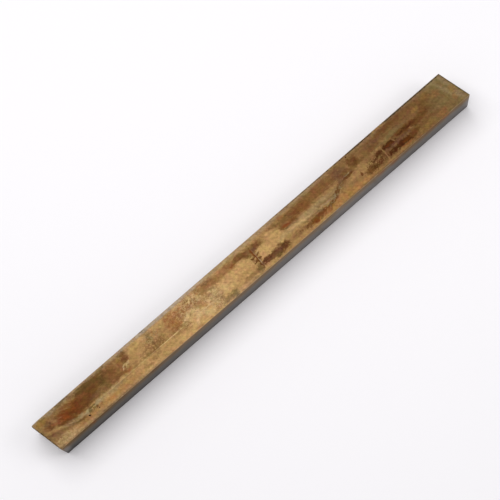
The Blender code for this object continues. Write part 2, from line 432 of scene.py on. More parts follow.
    Mark(1.3, -3.4, 0.2, 1.8, "haze", 0.7, 0.6, "exact"),
    Mark(1.3, 0.4, 0.16, 2.4, "haze", 0.4, 0.7, "exact"),
    Mark(0.4, -0.7, 0.3, 0.3, "straw", 0.6),
    Mark(-0.4, 0.6, 0.5, 0.3, "straw", 0.6),
    Mark(2.0, 0.6, 0.5, 0.3, "straw", 0.6),
    Mark(-0.6, -2.4, 0.6, 0.3, "straw", 0.5),
    Mark(2.0, -0.7, 0.4, 0.3, "straw", 0.6),
    Mark(2.2, 2.4, 0.9, 0.9, "plum", 0.7, 0.6, "smooth"),
    Mark(2.5, 0.8, 0.9, 0.2, "pale_gold", 0.5, 0.6, "exact", 30),
    # Dark patch along the front
    Mark(4.6, -4.0, 3.4, 1.2, "umber", 0.9, 0.35),
    Mark(9.9, -4.1, 4.0, 1.5, "umber", 0.9, 0.35, "ragged", -3),
    Mark(10.4, -5.6, 0.8, 0.5, "umber", 0.6, 0.6),
    Mark(13.8, -5.3, 1.0, 0.4, "brown", 0.6, 0.6),
    Mark(8.2, -5.2, 1.5, 0.9, "dark_olive", 0.8, 0.5),
    Mark(7.4, -4.0, 5.6, 1.0, "plum", 0.6, 0.6, "flecked"),
    Mark(9.9, -3.8, 0.6, 1.0, "plum", 0.7),
    Mark(4.0, -3.6, 2.4, 0.6, "maroon", 0.5, 0.7, "flecked"),
    Mark(11.6, -4.0, 1.6, 0.9, "maroon", 0.5, 0.7, "flecked"),
    Mark(12.8, -5.8, 1.0, 0.4, "bronze", 0.7),
    Mark(-13.2, -6.9, 0.9, 0.5, "dark_edge", 0.7, 0.7, "edging"),
    Mark(9.4, -3.0, 1.2, 0.4, "tan", 0.6),
    # Right of the patches: the reddish band behind, a pale streak, a dark patch in front
    Mark(18.6, 2.8, 5.6, 2.5, "umber", 0.42, 0.5, "wiped", -8),
    Mark(31.0, 3.4, 14.0, 2.5, "umber", 0.7, 0.5, "brushed"),
    Mark(15.3, 1.8, 1.3, 1.1, "umber", 0.7, 0.5, "wiped", -35),
    Mark(17.6, 0.8, 2.6, 0.9, "red_brown", 0.55, 0.6, "wiped", -20),
    Mark(17.0, 1.2, 1.2, 0.6, "ember", 0.3, 0.8, "wiped", -30),
    Mark(20.2, 1.0, 2.6, 1.0, "red_brown", 0.5, 0.7, "wiped", -8),
    Mark(20.4, 0.6, 1.6, 0.6, "umber", 0.5, 0.6, "wiped", -8),
    Mark(17.2, 0.1, 1.8, 0.5, "umber", 0.65, 0.6, "wiped", -8),
    Mark(17.6, 5.0, 1.4, 0.7, "rust", 0.5, 0.7, "smooth"),
    Mark(21.4, 6.3, 3.4, 0.6, "brown", 0.3),
    Mark(26.0, 2.6, 4.0, 1.7, "red_brown", 0.38, 0.8, "brushed"),
    Mark(35.0, 3.6, 5.0, 1.4, "rust", 0.35, 0.8, "brushed"),
    Mark(26.0, -1.1, 13.0, 1.5, "grey_green", 0.45, 0.5, "brushed"),
    Mark(33.4, -1.6, 5.0, 0.6, "olive", 0.5, 0.6, "brushed"),
    Mark(26.0, -2.8, 4.0, 0.6, "brown", 0.6, 0.6, "brushed"),
    Mark(33.4, 0.6, 5.0, 0.6, "tan", 0.4, 0.7, "brushed"),
    Mark(20.0, -1.2, 5.0, 0.7, "straw", 0.6, 0.7, "brushed", -4),
    Mark(22.0, -1.4, 5.6, 0.3, "pale_gold", 0.35, 0.7, "brushed", -2),
    Mark(32.4, -1.9, 4.4, 0.4, "brown", 0.4, 0.7, "brushed"),
    Mark(33.0, -2.7, 4.4, 0.3, "haze", 0.45, 0.7, "brushed", 4),
    Mark(19.6, -4.2, 4.6, 1.0, "brown", 0.6, 0.5, "brushed"),
    Mark(28.4, -4.4, 7.2, 1.1, "umber", 0.85, 0.4),
    Mark(26.6, -4.8, 1.7, 0.9, "red_brown", 0.8, 0.6),
    Mark(30.5, -4.2, 2.5, 0.7, "red_brown", 0.4),
    Mark(30.4, -3.1, 1.5, 0.5, "plum", 0.6),
    Mark(35.6, -3.9, 4.0, 0.9, "umber", 0.85, 0.5, "ragged", 20),
    Mark(34.6, -4.9, 1.8, 0.5, "umber", 0.75, 0.6, "ragged", 20),
    # The wiper left pale strokes across the rim of the dark band
    Mark(25.4, -5.5, 0.14, 0.9, "orange_tan", 0.6, 0.6, "exact", -42),
    Mark(28.4, -5.4, 0.16, 0.9, "orange_tan", 0.7, 0.6, "exact", -42),
    Mark(30.2, -5.3, 0.14, 0.9, "tan", 0.7, 0.6, "exact", -42),
    Mark(32.2, -5.0, 0.14, 1.0, "tan", 0.7, 0.6, "exact", -42),
    Mark(34.2, -4.5, 0.14, 1.1, "haze", 0.4, 0.6, "exact", -42),
    Mark(36.4, -3.8, 0.14, 1.0, "haze", 0.4, 0.6, "exact", -42),
    Mark(38.5, -2.0, 2.6, 0.8, "olive", 0.6, 0.6, "ragged", 14),
    Mark(41.4, -1.1, 3.2, 0.7, "dark_olive", 0.65, 0.5, "ragged", 16),
    Mark(39.6, -2.2, 4.4, 1.1, "umber", 0.5, 0.5, "flecked", 18),
    Mark(36.8, -2.7, 3.0, 0.7, "grey_green", 0.35, 0.5, "curled", 12),
    Mark(37.6, -3.5, 1.6, 0.5, "umber", 0.45, 0.6, "ragged", 20),
    Mark(43.0, -0.9, 2.6, 0.5, "grey_green", 0.4, 0.5, "curled", 16),
    Mark(39.6, -1.6, 1.1, 0.5, "umber", 0.7, 0.6, "ragged", 10),
    Mark(41.3, -0.2, 1.2, 0.35, "umber", 0.5, 0.6, "ragged", 10),
    Mark(37.9, -2.6, 0.3, 1.1, "haze", 0.5, 0.6, "exact", -42),
    Mark(40.2, -2.6, 1.4, 0.4, "straw", 0.4, 0.7, "ragged", 25),
    Mark(44.5, -0.6, 2.0, 0.8, "brown", 0.7, 0.6, "ragged", 10),
    Mark(43.4, 0.3, 1.7, 0.5, "plum", 0.7, 0.6),
    Mark(47.0, 0.1, 2.6, 0.45, "umber", 0.95, 0.5, "smooth", 3),
    Mark(46.8, 0.7, 1.9, 0.25, "grey_green", 0.7, 0.5, "exact"),
    Mark(47.0, 4.8, 10.0, 1.6, "brown", 0.75, 0.6, "brushed"),
    Mark(44.9, 2.6, 2.7, 2.4, "plum", 0.65, 0.5),
    Mark(49.7, 1.9, 1.0, 1.0, "brown", 0.5, 0.6),
    Mark(51.6, 3.0, 2.4, 2.0, "umber", 0.8, 0.5),
    Mark(52.5, 2.6, 0.6, 1.6, "maroon", 0.5, 0.7, "smooth"),
    Mark(54.3, 1.9, 1.4, 0.8, "umber", 0.35),
    Mark(58.5, 2.2, 5.0, 1.6, "umber", 0.35, 0.7, "brushed"),
    Mark(35.0, -5.4, 5.0, 0.8, "orange_tan", 0.5),
    Mark(44.5, -4.6, 8.0, 1.6, "orange_tan", 0.5, 0.7, "ragged", 3),
    Mark(50.0, -6.0, 8.0, 0.8, "orange_tan", 0.5),
    Mark(50.6, -1.7, 4.4, 1.2, "ochre", 0.4, 0.7, "brushed", 5),
    Mark(46.6, 1.8, 3.0, 0.9, "umber", 0.6, 0.6),
    Mark(51.4, 1.0, 3.0, 0.6, "umber", 0.6, 0.7, "brushed"),
    Mark(46.8, 0.0, 2.6, 0.5, "umber", 0.85, 0.5),
    Mark(53.4, -4.8, 1.0, 0.7, "umber", 0.6, 0.6),
    Mark(60.4, 0.4, 2.4, 0.6, "tan", 0.8, 0.6),
    Mark(42.6, -5.5, 1.4, 0.7, "bronze", 0.6, 0.7, "smooth"),
    Mark(50.2, -4.0, 2.6, 1.0, "olive", 0.4),
    Mark(47.6, -3.3, 2.6, 0.8, "olive", 0.45, 0.7, "brushed"),
    Mark(45.8, -3.5, 1.3, 0.8, "olive", 0.45),
    Mark(50.8, 6.0, 0.35, 0.3, "maroon", 0.9, 0.5, "exact"),
    Mark(51.0, -3.0, 0.5, 0.7, "umber", 0.95, 0.4),
    Mark(60.4, 4.6, 0.4, 0.3, "umber", 0.8, 0.5, "exact"),
    # Speckled dark stain and the two maroon patches
    Mark(58.4, -3.0, 4.8, 2.0, "dark_olive", 0.8, 0.4, "flecked", 12),
    Mark(58.2, -3.1, 4.6, 1.8, "umber", 0.85, 0.4, "flecked", 12),
    Mark(56.6, -2.9, 2.4, 1.0, "maroon", 0.6, 0.5, "curled", 20),
    Mark(56.6, -2.4, 2.8, 1.1, "straw", 0.3, 0.5, "speckled", 16),
    Mark(59.6, -2.6, 1.8, 0.9, "tan", 0.35, 0.6, "speckled"),
    Mark(55.0, -3.9, 2.0, 1.1, "umber", 0.8, 0.5),
    Mark(60.8, -1.2, 1.6, 0.9, "maroon", 0.75, 0.5),
    Mark(57.6, -2.0, 0.6, 0.4, "maroon", 0.7, 0.6),
    Mark(57.0, -2.4, 2.0, 1.2, "maroon", 0.45, 0.5, "flecked", 10),
    Mark(62.4, -0.4, 0.7, 0.6, "tan", 0.5),
    Mark(59.0, -4.2, 3.0, 0.7, "maroon", 0.5, 0.5, "flecked"),
    Mark(57.0, -3.7, 1.1, 0.6, "maroon", 0.6, 0.5, "ragged", 20),
    Mark(59.0, -2.0, 0.8, 0.5, "maroon", 0.6, 0.5, "ragged", 20),
    Mark(60.4, -3.1, 0.7, 0.5, "maroon", 0.5, 0.5),
    Mark(58.2, -2.8, 0.8, 0.3, "tan", 0.6, 0.6, "ragged", 30),
    Mark(60.0, -2.2, 0.7, 0.3, "tan", 0.5, 0.6, "ragged", 30),
    Mark(66.2, -1.1, 3.4, 1.2, "maroon", 0.95, 0.4),
    Mark(66.0, -1.2, 1.6, 0.5, "red_brown", 0.3),
    Mark(74.5, -0.2, 5.4, 1.2, "umber", 0.95, 0.45, "ragged", -4),
    Mark(76.5, -0.4, 3.2, 0.8, "maroon", 0.8, 0.6, "ragged", -6),
    Mark(76.4, 0.6, 2.4, 0.6, "umber", 0.6, 0.7, "ragged", -6),
    Mark(73.8, -1.5, 3.0, 0.6, "umber", 0.7, 0.6),
    Mark(72.4, -0.7, 1.6, 0.5, "maroon", 0.6, 0.6),
    Mark(69.6, -4.1, 6.4, 1.2, "maroon", 0.95, 0.35),
    Mark(73.6, -4.4, 2.4, 0.9, "maroon", 0.7, 0.6),
    Mark(72.0, -4.1, 1.6, 0.6, "red_brown", 0.5, 0.8),
    Mark(67.6, -4.7, 0.6, 0.3, "tan", 0.6, 0.6),
    Mark(71.4, -5.6, 3.0, 0.35, "ember", 0.4),
    Mark(76.6, -3.9, 2.8, 0.9, "umber", 0.9, 0.5),
    Mark(60.0, -6.3, 14.0, 0.7, "tan", 0.6, 0.6),
    Mark(70.5, -2.3, 7.0, 0.7, "plum", 0.7, 0.6, "speckled"),
    Mark(76.8, -1.7, 0.9, 0.5, "tan", 0.7, 0.6, "ragged", -40),
    Mark(77.6, -2.9, 2.2, 0.6, "umber", 0.5),
    Mark(68.4, -0.9, 0.3, 0.8, "tan", 0.6, 0.6, "exact", 30),
    Mark(68.0, -2.5, 0.8, 0.3, "tan", 0.4),
    Mark(78.8, -1.5, 2.0, 0.8, "maroon", 0.6),
    Mark(82.0, -0.8, 4.4, 1.3, "umber", 0.8, 0.6, "ragged", 6),
    Mark(86.0, 0.6, 2.8, 1.6, "umber", 0.65),
    Mark(85.0, -3.4, 6.0, 0.7, "umber", 0.4, 0.8, "brushed"),
    Mark(62.8, -2.8, 0.3, 3.6, "tan", 0.65, 0.6),
    Mark(87.0, 3.0, 3.0, 1.3, "umber", 0.6, 0.8, "brushed"),
    Mark(62.0, 3.8, 4.0, 0.9, "plum", 0.5, 0.8, "brushed"),
    Mark(70.0, 4.9, 6.5, 1.0, "umber", 0.7, 0.7, "brushed", 3),
    Mark(78.0, 4.6, 8.0, 1.4, "umber", 0.35, 0.8, "brushed"),
    Mark(69.5, 1.5, 6.8, 0.9, "olive", 0.8, 0.5, "brushed", 3),
    Mark(65.4, 1.6, 1.4, 0.5, "ochre", 0.4),
    Mark(82.2, 2.3, 1.6, 0.8, "bronze", 0.6, 0.7, "smooth"),
    Mark(88.5, 4.2, 1.6, 1.4, "bronze", 0.45, 0.8, "smooth"),
    # Right end
    Mark(89.5, 3.2, 1.3, 5.0, "umber", 0.35, 0.9, "wiped", 22),
    Mark(91.0, -0.3, 4.0, 3.6, "olive", 0.5, 0.8, "smooth"),
    Mark(96.0, 0.4, 0.9, 6.0, "grey_green", 0.35, 0.8, "smooth", 23),
    Mark(97.2, 4.8, 1.0, 1.6, "olive", 0.5, 0.8, "smooth", 12),
    Mark(87.4, -0.6, 2.6, 1.2, "dark_olive", 0.4, 0.8, "smooth"),
    Mark(93.2, 0.2, 0.5, 5.0, "brown", 0.5, 0.8, "smooth", 21),
    Mark(98.0, 2.8, 1.0, 4.0, "haze", 0.35, 0.8, "smooth", 12),
    Mark(91.0, -5.2, 4.6, 1.5, "brown", 0.45, 0.8),
    Mark(89.3, -5.1, 2.2, 1.2, "rust", 0.45, 0.8),
    Mark(82.0, -5.2, 3.0, 0.8, "bronze", 0.35),
    Mark(97.2, -3.4, 0.8, 1.4, "rust", 0.5, 0.7, "smooth", 25),
    Mark(98.2, -0.7, 1.3, 1.6, "bronze", 0.5, 0.7, "smooth"),
    Mark(91.8, 2.2, 2.0, 1.2, "rust", 0.35, 0.8, "smooth"),
    # Dark lines along the two ends, and along the back edge at the right and in a few spots
    Mark(-99.9, 0.0, 0.45, 8.0, "dark_edge", 0.75, 0.6, "edging", 12.5),
    Mark(99.9, 0.0, 0.4, 8.0, "dark_edge", 0.75, 0.6, "edging", 12.5),
    Mark(99.0, -3.8, 1.0, 2.4, "haze", 0.4, 0.8, "smooth", 12),
    Mark(72.0, 6.7, 29.0, 0.4, "dark_edge", 0.9, 0.6, "edging"),
    Mark(30.0, 6.8, 14.0, 0.3, "dark_edge", 0.6, 0.8, "edging"),
    Mark(-87.4, 6.6, 2.8, 0.4, "dark_edge", 0.6, 0.7, "edging"),
    Mark(-41.0, 6.5, 17.0, 0.7, "worn_edge", 0.75, 0.8, "edging"),
    Mark(-75.0, -6.3, 24.0, 0.8, "worn_edge", 0.12, 0.9),
    Mark(-10.0, -6.3, 13.0, 0.8, "worn_edge", 0.1, 0.9),
    Mark(-98.0, -6.6, 1.6, 0.6, "dark_edge", 0.45, 0.7, "edging"),
    Mark(-73.0, -6.9, 17.0, 0.5, "dark_edge", 0.45, 0.9, "edging"),
    Mark(-5.0, -6.9, 9.0, 0.5, "dark_edge", 0.35, 0.9, "edging"),
    Mark(55.0, -6.9, 13.0, 0.5, "dark_edge", 0.35, 0.9, "edging"),
    Mark(67.0, 6.4, 3.2, 0.5, "tan", 0.8, 0.6),
    Mark(-48.8, 6.8, 1.3, 0.3, "dark_edge", 0.4, 0.7, "edging"),
)

# Base colour along the top, from the left end to the right, darker toward the right: place and
# colour
BASE_TINT = (
    (-100.0, "tan"), (-92.0, "tan"), (-80.0, "ochre"), (-62.0, "ochre"), (-54.0, "straw"),
    (-44.0, "ochre"), (-34.0, "straw"), (-8.0, "straw"), (10.0, "ochre"), (28.0, "ochre"),
    (40.0, "tan"), (52.0, "tan"), (60.0, "brown"), (84.0, "brown"), (92.0, "olive"),
    (100.0, "olive"),
)

# Broad stains on the underside, which lay on the furnace tray and has few marks of its own
UNDERSIDE_MARKS = (
    Mark(-70.0, 1.0, 26.0, 3.6, "umber", 0.7, 0.6, "brushed", 3),
    Mark(-22.0, -2.0, 18.0, 2.4, "rust", 0.6, 0.6, "ragged", -2),
    Mark(-36.0, 3.0, 9.0, 2.2, "straw", 0.6, 0.5, "lobed"),
    Mark(12.0, 1.5, 10.0, 3.0, "straw", 0.7, 0.3, "lobed", 5),
    Mark(30.0, -2.5, 12.0, 2.0, "plum", 0.8, 0.4, "brushed"),
    Mark(55.0, 2.0, 15.0, 2.8, "umber", 0.7, 0.5, "speckled", -4),
    Mark(80.0, -2.0, 9.0, 2.5, "maroon", 0.6, 0.5, "brushed", 6),
    Mark(-88.0, -3.0, 5.0, 1.6, "grey_green", 0.5, 0.6),
)

FRONT_MARKS = (
    # Painted shade along the foot of the left half and low by the left end, for the shadow where
    # the bar meets the table; a bare patch at the left end and stains that came over the top edge
    Mark(-78.0, 0.6, 26.0, 1.7, "soot_and_foot_shade", 0.3, 0.8, "brushed"),
    Mark(-94.0, 2.5, 1.6, 2.6, "soot_and_foot_shade", 0.4, 0.8, "smooth", 20),
    # Painted shade: the upper side of the left half is darkened, for the floor's deeper shadow
    # that it reflects there.
    Mark(-78.0, 12.0, 30.0, 3.0, "dark_edge", 0.4, 0.9, "smooth"),
    Mark(78.0, 6.0, 24.0, 7.0, "darker_ground", 0.4, 0.9, "smooth"),
    Mark(-97.2, 8.0, 1.6, 3.6, "ground", 0.7, 0.7, "smooth"),
    Mark(-86.0, 13.0, 15.0, 1.7, "dark_olive", 0.7, 0.6),
    Mark(-83.0, 12.8, 0.9, 2.4, "red_brown", 0.6, 0.6, "smooth"),
    Mark(-69.0, 12.4, 2.6, 1.2, "umber", 0.6, 0.6),
    Mark(-54.0, 12.4, 2.2, 1.2, "umber", 0.6, 0.6),
    Mark(-77.5, 12.8, 1.4, 1.0, "umber", 0.6, 0.6),
    Mark(35.6, 12.8, 0.8, 1.8, "ground", 0.8, 0.6, "smooth", -14),
    Mark(27.0, 6.0, 0.7, 5.0, "olive", 0.3, 0.8, "smooth", 12),
    Mark(57.0, 13.0, 1.8, 2.6, "rust", 0.6, 0.7, "smooth"),
    Mark(63.6, 12.5, 2.0, 3.0, "rust", 0.6, 0.7, "smooth"),
    Mark(54.0, 7.0, 1.0, 5.0, "dark_olive", 0.3, 0.8, "smooth", 14),
    Mark(80.0, 12.0, 13.0, 2.8, "brown", 0.6, 0.7, "brushed"),
    Mark(83.0, 13.4, 4.0, 1.4, "umber", 0.6),
    Mark(89.6, 13.2, 1.8, 2.2, "rust", 0.7, 0.7, "smooth"),
    Mark(97.0, 12.0, 3.0, 3.4, "olive", 0.6, 0.8, "smooth"),
)

BACK_MARKS = (
    # Like the front, with fewer stains: tint over the top edge, painted shade at the foot, a faint
    # streak
    Mark(-60.0, 13.2, 22.0, 1.6, "umber", 0.6),
    Mark(-15.0, 12.6, 5.0, 1.8, "rust", 0.5),
    Mark(30.0, 1.0, 30.0, 1.4, "soot_and_foot_shade", 0.35, 0.8, "brushed"),
    Mark(66.0, 12.0, 9.0, 2.4, "brown", 0.6, 0.7, "brushed"),
    Mark(8.0, 6.5, 1.2, 4.0, "olive", 0.4, 0.8, "smooth", 10),
)

# Small dents in the long edges: which edge, place along the bar, half length and depth
Dent = namedtuple("Dent", "back top x half_length depth")
DENTS = (
    Dent(True, True, -66.0, 0.9, 0.10),
    Dent(True, True, 12.5, 0.7, 0.08),
    Dent(True, True, 71.0, 1.1, 0.10),
    Dent(False, True, -41.0, 0.8, 0.08),
    Dent(False, True, 35.6, 1.0, 0.16),
    Dent(False, True, 88.0, 1.3, 0.12),
    Dent(False, False, -20.0, 1.0, 0.12),
    Dent(True, False, 48.0, 0.9, 0.12),
)
DENT_SPACING = 0.2               # mesh spacing along a dent

# Corrosion pits in the top: centre, radius and depth
Pit = namedtuple("Pit", "x y radius depth")
PITS = (Pit(-82.6, -4.4, 0.45, 0.16), Pit(-78.0, -4.5, 0.32, 0.12))
PIT_SPACING = 0.11               # mesh spacing across a pit

RIM_STRIP = 0.06                 # width of the mesh strip beside each rounded edge
SIDE_SPACING = 1.4               # mesh spacing up the sides, as a multiple of that along the bar
WANDER_GRAIN = 12.0              # length over which the rounding of an edge wanders
SWELL_GRAIN = (7.0, 3.0)         # grain of the scale's swell along and across the bar
SWELL_MARGIN = 0.4               # flat strip along the top's edges, which has no swell

WIPE_ANGLE = math.radians(-26)   # turn of the wiped streaks at the left end
SCORE_ANGLE = math.radians(-42)  # turn of the fine scratches across the top
GRINDING_GRAIN = 0.35            # distance between the ground lines
SOFTEST_REACH = 0.38             # depth over which the softest rim fades, each way from the rim

SURFACE_GAP = 0.02               # how far the surface is below the bar
FADE_START = 0.18                # where the surface starts to fade to the sky, in metres
FADE_END = 0.6                   # where it is all sky, in metres


def add(tree, kind, inputs=None, out=None, **settings):
    """Add a node with its settings and links, and return its first output or the named one.

    An input is given by its name, or by its number where two have the same name. Its value is
    a constant or the output of another node.
    """
    node = tree.nodes.new("ShaderNode" + kind)
    for name, value in settings.items():
        setattr(node, name, value)
    in_use = [socket for socket in node.inputs if socket.enabled]
    for key, value in (inputs or {}).items():
        socket = in_use[key] if isinstance(key, int) else next(s for s in in_use if s.name == key)
        if isinstance(value, bpy.types.NodeSocket):
            tree.links.new(value, socket)
        else:
            socket.default_value = value
    outputs = [socket for socket in node.outputs if socket.enabled]
    return node.outputs[out] if out else next(iter(outputs), None)


def start_material(name):
    """A new material and its empty node tree."""
    material = bpy.data.materials.new(name)
    material.use_nodes = True
    material.node_tree.nodes.clear()
    return material, material.node_tree


def finish_metal(tree, colour, metallic, roughness, relief, depth, sheen):
    """Close a metal: relief is a height from 0 to 1, and depth is its full height in mm.

    sheen is what the metal's reflection is multiplied by at a low angle.
    """
    normal = add(tree, "Bump", {"Height": relief, "Strength": 1.0, "Distance": depth * MM})
    metal = add(tree, "BsdfPrincipled", {"Base Color": colour, "Metallic": metallic,
                                         "Roughness": roughness, "Specular Tint": sheen,
                                         "Normal": normal})
    add(tree, "OutputMaterial", {"Surface": metal})


def place_in_mm(tree, keep=(1, 1, 1)):
    """The place on the bar in millimetres; keep has 0 for an axis to leave out."""
    place = add(tree, "TexCoord", out="Object")
    return add(tree, "VectorMath", {0: place, 1: [k / MM for k in keep]}, operation='MULTIPLY')


def clouds(tree, place, grain, detail=3.0, stretch=(1, 1, 1), seed=0.0, low=0.0, high=1.0):
    """Cloudy noise with spots of the given grain in millimetres, from low to high."""
    scale = [1 / (grain * s) for s in stretch]
    moved = add(tree, "VectorMath", {0: place, 1: scale, 2: (seed, 0.7 * seed, 1.3 * seed)},
                operation='MULTIPLY_ADD')
    cloud = add(tree, "TexNoise", {"Vector": moved, "Scale": 1.0, "Detail": detail,
                                   "Roughness": 0.6})
    return add(tree, "MapRange", {"Value": cloud, "From Min": 0.25, "From Max": 0.75,
                                  "To Min": low, "To Max": high})


def ground_lines(tree, place, low=0.0, high=1.0):
    """The fine lines that the grinding wheel left along the bar, from low to high."""
    return clouds(tree, place, GRINDING_GRAIN, detail=4.0, stretch=(60, 1, 1), low=low, high=high)


def warped(tree, place, *waves):
    """The place moved about by noise: each wave is a grain in mm and a reach in mm."""
    for number, (grain, reach) in enumerate(waves):
        scale = [1 / grain] * 3
        seed = 7.0 + 5.0 * number
        moved = add(tree, "VectorMath", {0: place, 1: scale, 2: (seed, seed, seed)},
                    operation='MULTIPLY_ADD')
        cloud = add(tree, "TexNoise", {"Vector": moved, "Scale": 1.0, "Detail": 2.0}, "Color")
        # Noise averages a half in each colour, so it is centred to move places both ways
        place = add(tree, "VectorMath", {0: cloud, 1: (4 * reach, 4 * reach, 0.0), 2: place},
                    operation='MULTIPLY_ADD')
        place = add(tree, "VectorMath", {0: place, 1: (2 * reach, 2 * reach, 0.0)},
                    operation='SUBTRACT')
    return place


def layered(tree, base, *layers):
    """Lay colours over a base one after another, each as far as its mask says."""
    for mask, colour in layers:
        base = add(tree, "Mix", {"Factor": mask, "A": base, "B": colour}, data_type='RGBA')
    return base


def rgba(colours, name):
    """A named colour of the steel with full alpha."""
    return (*getattr(colours, name), 1.0)


def outlines(tree, place):
    """The ways a mark's rim can run: its warped place and what its depth is multiplied by."""
    loose = warped(tree, place, (5.0, 0.5), (1.5, 0.25))
    rough = warped(tree, place, (3.0, 0.4), (1.0, 0.25))
    wiped = add(tree, "VectorRotate", {"Vector": place, "Angle": -WIPE_ANGLE},
                rotation_type='Z_AXIS')
    # The curls run where the noise passes through its middle, which gives thin winding lines
    off_curl = add(tree, "Math", {0: clouds(tree, place, 1.5, seed=17.0, low=-1.0)},
                   operation='ABSOLUTE')
    curl = add(tree, "MapRange", {"Value": off_curl, "From Max": 0.5,
                                  "To Min": 2.0, "To Max": -1.5})
    return {
        "exact": (place, None),
        "edging": (place, clouds(tree, place, 0.9, seed=5.0, low=0.4, high=1.6)),
        "smooth": (loose, None),
        "lobed": (warped(tree, place, (3.2, 0.4), (0.8, 0.08)), None),
        "brushed": (loose, clouds(tree, place, 0.8, stretch=(6, 1, 1), low=0.7, high=1.3)),
        "wiped": (loose, clouds(tree, wiped, 0.8, stretch=(6, 1, 1), low=0.6, high=1.4)),
        "ragged": (rough, clouds(tree, place, 0.9, low=0.6, high=1.4)),
        "speckled": (rough, clouds(tree, place, 0.7, seed=9.0, low=0.1, high=1.9)),
        "flecked": (rough, clouds(tree, place, 0.45, seed=13.0, low=-0.4, high=2.2)),
        "curled": (rough, curl),
    }


def mark_mask(tree, mark, place, fray):
    """How strongly a mark covers each place: its depth falls from 1 in the middle to a half
    at its rim, and to nothing at twice its size."""
    reach = SOFTEST_REACH * mark.soft
    local = add(tree, "Mapping", {"Vector": place, "Location": (mark.x, mark.y, 0.0),
                                  "Rotation": (0.0, 0.0, math.radians(mark.turn)),
                                  "Scale": (2 * mark.half_x, 2 * mark.half_y, 1.0)},
                vector_type='TEXTURE')
    depth = add(tree, "TexGradient", {"Vector": local}, "Fac", gradient_type='SPHERICAL')
    if fray:
        depth = add(tree, "Math", {0: depth, 1: fray}, operation='MULTIPLY')
    # A smooth step stays within its range without the clamp, which Cycles would do for every
    # mark before it lays the first one over the colour, and it has no room for that many
    return add(tree, "MapRange", {"Value": depth, "From Min": 0.5 - reach,
                                  "From Max": 0.5 + reach, "To Max": mark.strength},
               interpolation_type='SMOOTHSTEP', clamp=False)


def marked(tree, colour, colours, marks, place):
    """The colour with all the marks of a face laid over it."""
    rims = outlines(tree, place)
    for mark in marks:
        mask = mark_mask(tree, mark, *rims[mark.outline])
        colour = layered(tree, colour, (mask, rgba(colours, mark.colour)))
    return colour


def base_tint(tree, colours, along):
    """The colour that the top has by its place along the bar."""
    share = add(tree, "MapRange", {"Value": along, "From Min": BASE_TINT[0][0],
                                   "From Max": BASE_TINT[-1][0]})
    colour = add(tree, "ValToRGB", {"Fac": share})
    stops = colour.node.color_ramp.elements
    span = BASE_TINT[-1][0] - BASE_TINT[0][0]
    for number, (where, name) in enumerate(BASE_TINT):
        stop = stops[number] if number < len(stops) else stops.new(1.0)
        stop.position = (where - BASE_TINT[0][0]) / span
        stop.color = rgba(colours, name)
    return colour


def heat_tinted_steel(name, colours, marks):
    """Hardened high-speed steel with its tint and thin scale, as quenched and not ground.

    To the eye it is a satin metal, gold where the oxide is thin and brown to maroon where it
    is thick, with rims that are crisp in places and cloudy in others.
    """
    material, tree = start_material(name)
    place = place_in_mm(tree, keep=(1, 1, 0))
    along = add(tree, "SeparateXYZ", {"Vector": place}, "X")
    across = add(tree, "SeparateXYZ", {"Vector": place}, "Y")
    edge = add(tree, "Attribute", out="Fac", attribute_name="edge")

    # A dull haze lies along the back edge, and there is less of it on the right half
    back_haze = add(tree, "MapRange", {"Value": across, "From Min": 4.6, "From Max": 6.4,
                                       "To Max": 0.65}, interpolation_type='SMOOTHSTEP')
    less_at_right = add(tree, "MapRange", {"Value": along, "From Min": 30.0,
                                           "From Max": 45.0, "To Min": 1.0, "To Max": 0.4})
    back_haze = add(tree, "Math", {0: back_haze, 1: less_at_right}, operation='MULTIPLY')
    colour = layered(tree, base_tint(tree, colours, along), (back_haze, rgba(colours, "haze")))
    colour = marked(tree, colour, colours, marks, place)
    crest = add(tree, "MapRange", {"Value": edge, "From Max": 0.7, "To Max": 0.5})
    wear = add(tree, "Math", {0: crest, 1: clouds(tree, place, 1.6, seed=8.0)},
               operation='MULTIPLY')
    colour = layered(tree, colour, (wear, rgba(colours, "worn_edge")))

    mottle = clouds(tree, place, 1.1, detail=5.0, low=0.68, high=1.28)
    brushing = clouds(tree, place, 0.8, stretch=(12, 1, 1), seed=3.0, low=-0.1, high=0.1)
    turned = add(tree, "VectorRotate", {"Vector": place, "Angle": -SCORE_ANGLE},
                 rotation_type='Z_AXIS')
    scoring = clouds(tree, turned, 0.45, stretch=(9, 1, 1), seed=21.0, low=-0.15, high=0.15)
    lines = add(tree, "Math", {0: brushing, 1: scoring}, operation='ADD')
    shade = add(tree, "Math", {0: mottle, 1: lines}, operation='ADD')
    hue = clouds(tree, place, 2.0, seed=11.0, low=0.482, high=0.518)
    colour = add(tree, "HueSaturation", {"Hue": hue, "Value": shade, "Color": colour})
    roughness = clouds(tree, place, 1.3, detail=4.0, low=0.54, high=0.38)
    relief = clouds(tree, place_in_mm(tree), 0.5, detail=4.0, seed=2.0)
    finish_metal(tree, colour, 0.9, roughness, relief, 0.012, rgba(colours, "gold_sheen"))
    return material


